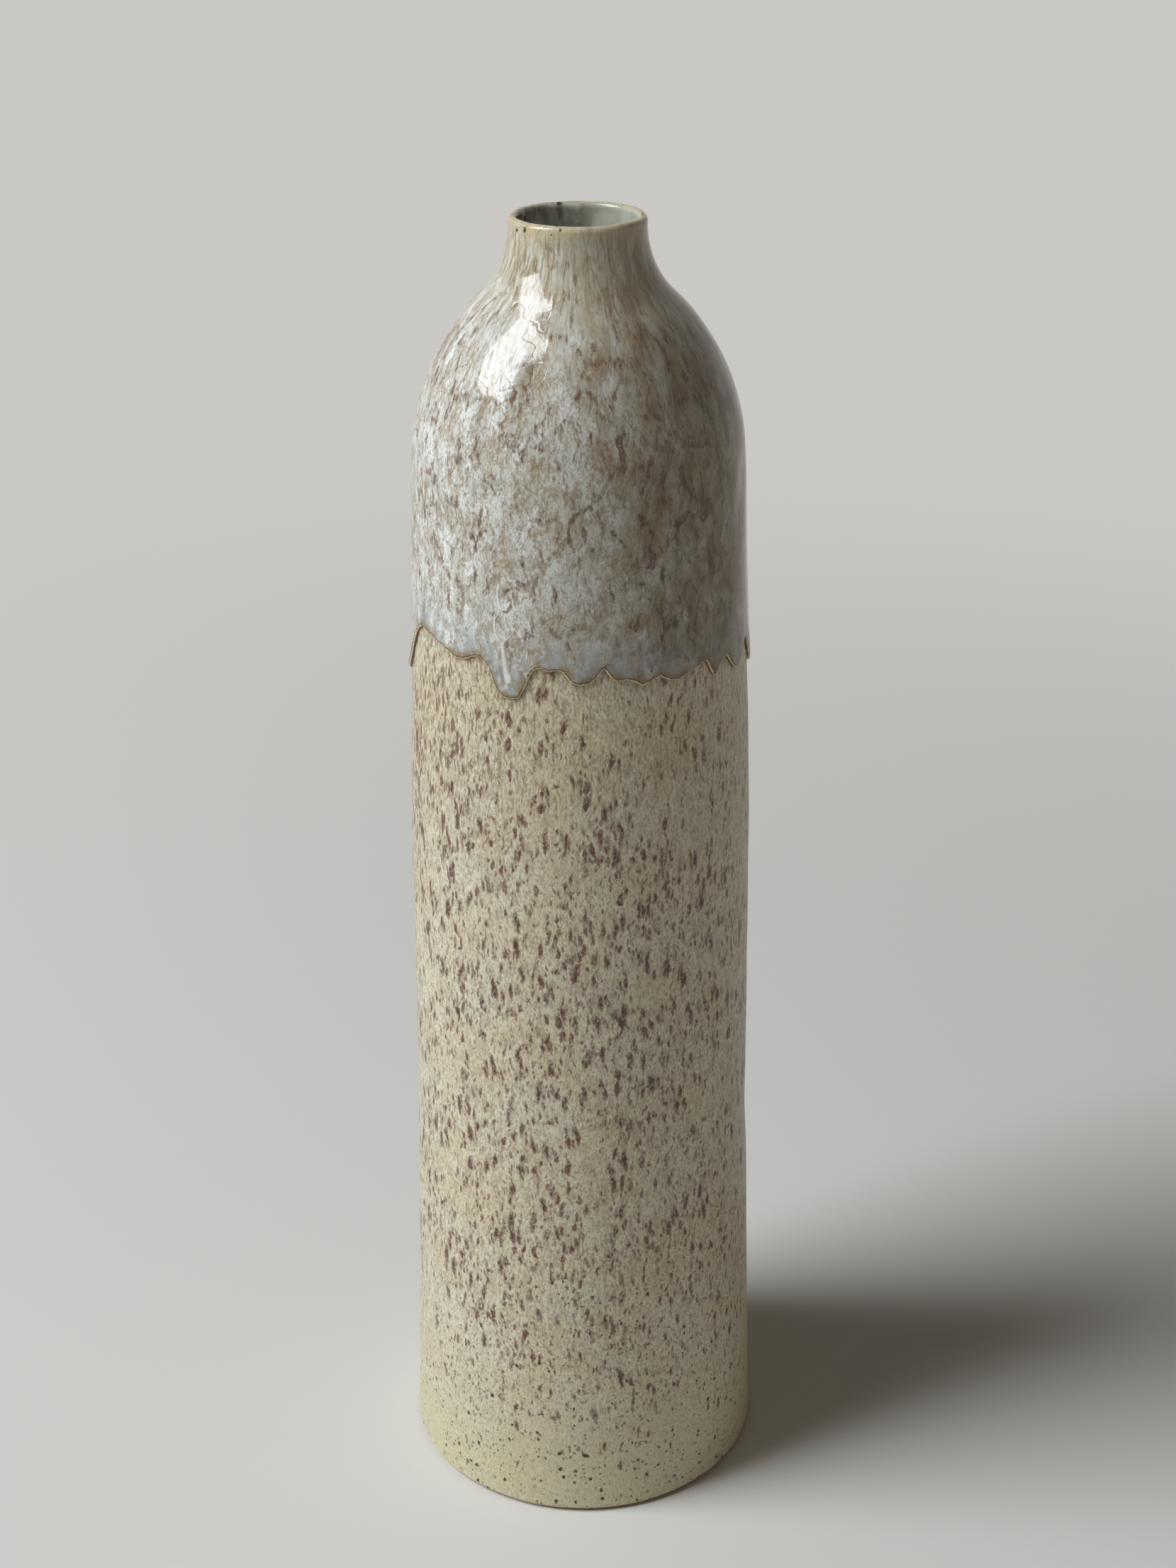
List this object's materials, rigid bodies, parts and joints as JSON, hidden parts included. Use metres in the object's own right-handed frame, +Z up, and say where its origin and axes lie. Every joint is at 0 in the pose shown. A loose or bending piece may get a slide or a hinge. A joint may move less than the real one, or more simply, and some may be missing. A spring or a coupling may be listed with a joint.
{
  "type": "bottle vase",
  "caption": "Tall slender stoneware bottle vase with a domed shoulder, short narrow neck and trimmed foot, under cream glaze and a scalloped drip glaze.",
  "frame": {"origin": "centre of the foot, on the surface that the vase stands on", "axes": "+Z up along the vase's axis; -Y is the side that the picture shows, +X to its right"},
  "size_m": [0.09, 0.09, 0.324],
  "materials": {
    "clay": "bare fired stoneware, matt and slightly grainy",
    "cream_glaze": "satin cream glaze with long purple-brown flecks, turning to sparse iron specks near the foot",
    "drip_glaze": "gloss grey-white glaze streaked rust brown, breaking tan at its rolled edge and the lip",
    "liner_glaze": "gloss pale grey liner glaze"
  },
  "bodies": {
    "root": {"base_section": "clay", "body_section": "clay", "neck_section": "clay", "cream_glaze": "cream_glaze", "drip_glaze": "drip_glaze", "liner_glaze": "liner_glaze"}
  },
  "joints": []
}
